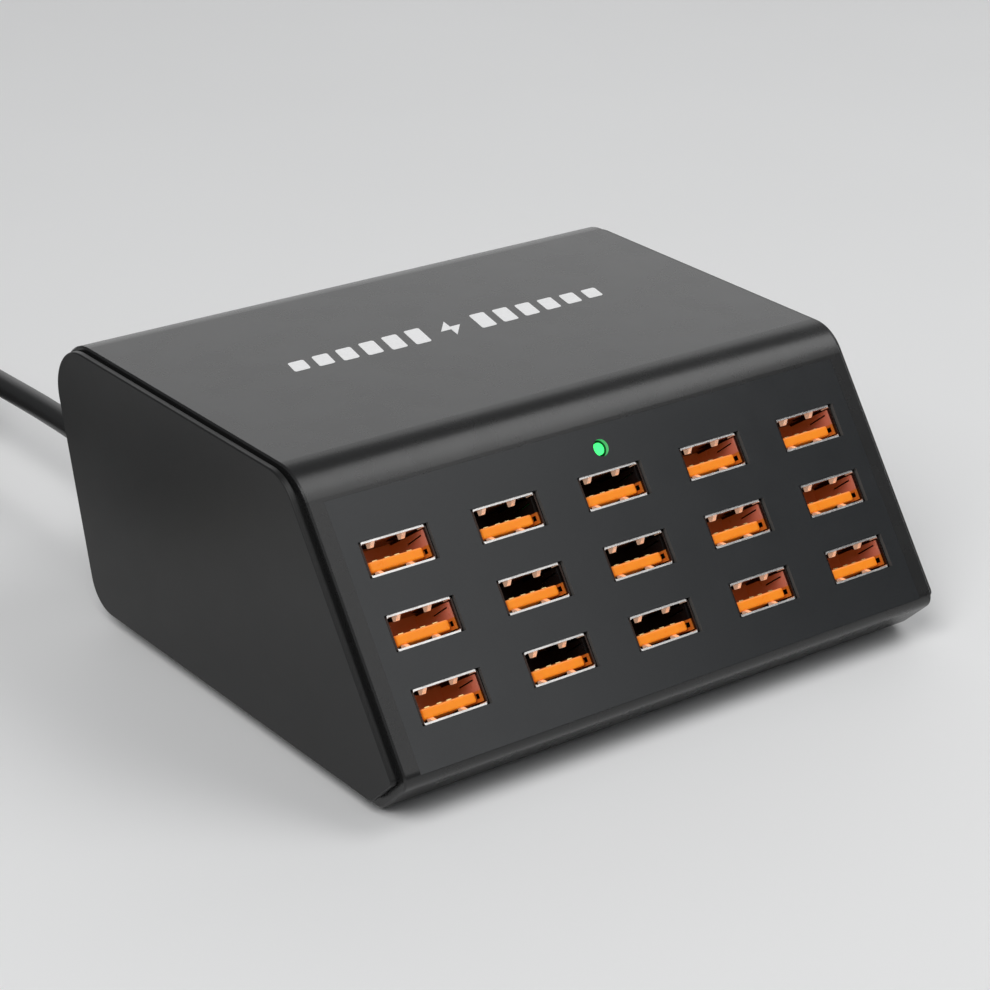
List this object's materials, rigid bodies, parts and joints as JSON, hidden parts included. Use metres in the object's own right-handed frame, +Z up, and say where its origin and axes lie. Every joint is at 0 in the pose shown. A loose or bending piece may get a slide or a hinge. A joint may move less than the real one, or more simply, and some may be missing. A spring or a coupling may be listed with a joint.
{
  "type": "usb desktop charging station",
  "caption": "Wedge-shaped desktop phone charger with rows of USB sockets on a sloping front, a status lamp and a mains cord.",
  "frame": {"origin": "on the surface it stands on, under the middle of the case", "axes": "+X to the right seen from the front, +Y towards the back, where the cord leaves, +Z up; the sloping socket face looks towards -Y and up"},
  "size_m": [0.1755, 0.2321, 0.0526],
  "materials": {
    "case_black": "fine matte moulded ABS",
    "panel_satin": "smooth satin dark grey plate",
    "socket_steel": "tinned folded steel",
    "socket_orange": "orange moulded insulator",
    "gold_contact": "gold-flashed contact",
    "green_lamp": "lit green lamp lens",
    "foot_rubber": "black rubber",
    "cord_black": "black flexible PVC",
    "plug_black": "black moulded PVC plug",
    "blade_brass": "nickel-flashed brass",
    "board_green": "green solder mask",
    "ferrite": "sintered ferrite",
    "winding_tape": "yellow insulating tape",
    "winding_copper": "enamelled copper",
    "capacitor_sleeve": "dark blue shrink sleeve",
    "heat_sink_aluminium": "extruded aluminium",
    "package_black": "moulded semiconductor package",
    "screw_steel": "zinc-plated steel",
    "fuse_ceramic": "ceramic body",
    "wire_insulation": "PVC wire insulation"
  },
  "bodies": {
    "root": {"bulk_capacitor": "capacitor_sleeve", "front_panel": "panel_satin", "heat_sink_screws": "screw_steel", "left_end_cap": "case_black", "light_guide": "green_lamp", "line_filter_choke": "winding_copper", "main_housing": "case_black", "mains_fuse": "fuse_ceramic", "mains_wires": "wire_insulation", "output_capacitors": "capacitor_sleeve", "output_rectifier": "package_black", "output_wires": "wire_insulation", "plug_blades": "blade_brass", "plug_body": "plug_black", "port_board": "board_green", "power_board": "board_green", "power_cord": "cord_black", "power_cord_coil": "cord_black", "power_cord_tail": "cord_black", "primary_heat_sink": "heat_sink_aluminium", "right_end_cap": "case_black", "rubber_feet": "foot_rubber", "secondary_heat_sink": "heat_sink_aluminium", "status_led": "green_lamp", "strain_relief": "cord_black", "switching_transistor": "package_black", "transformer_core": "ferrite", "transformer_winding": "winding_tape", "usb_contacts": "gold_contact", "usb_insulator_r1_c1": "socket_orange", "usb_insulator_r1_c2": "socket_orange", "usb_insulator_r1_c3": "socket_orange", "usb_insulator_r1_c4": "socket_orange", "usb_insulator_r1_c5": "socket_orange", "usb_insulator_r2_c1": "socket_orange", "usb_insulator_r2_c2": "socket_orange", "usb_insulator_r2_c3": "socket_orange", "usb_insulator_r2_c4": "socket_orange", "usb_insulator_r2_c5": "socket_orange", "usb_insulator_r3_c1": "socket_orange", "usb_insulator_r3_c2": "socket_orange", "usb_insulator_r3_c3": "socket_orange", "usb_insulator_r3_c4": "socket_orange", "usb_insulator_r3_c5": "socket_orange", "usb_shell_r1_c1": "socket_steel", "usb_shell_r1_c2": "socket_steel", "usb_shell_r1_c3": "socket_steel", "usb_shell_r1_c4": "socket_steel", "usb_shell_r1_c5": "socket_steel", "usb_shell_r2_c1": "socket_steel", "usb_shell_r2_c2": "socket_steel", "usb_shell_r2_c3": "socket_steel", "usb_shell_r2_c4": "socket_steel", "usb_shell_r2_c5": "socket_steel", "usb_shell_r3_c1": "socket_steel", "usb_shell_r3_c2": "socket_steel", "usb_shell_r3_c3": "socket_steel", "usb_shell_r3_c4": "socket_steel", "usb_shell_r3_c5": "socket_steel"}
  },
  "joints": []
}
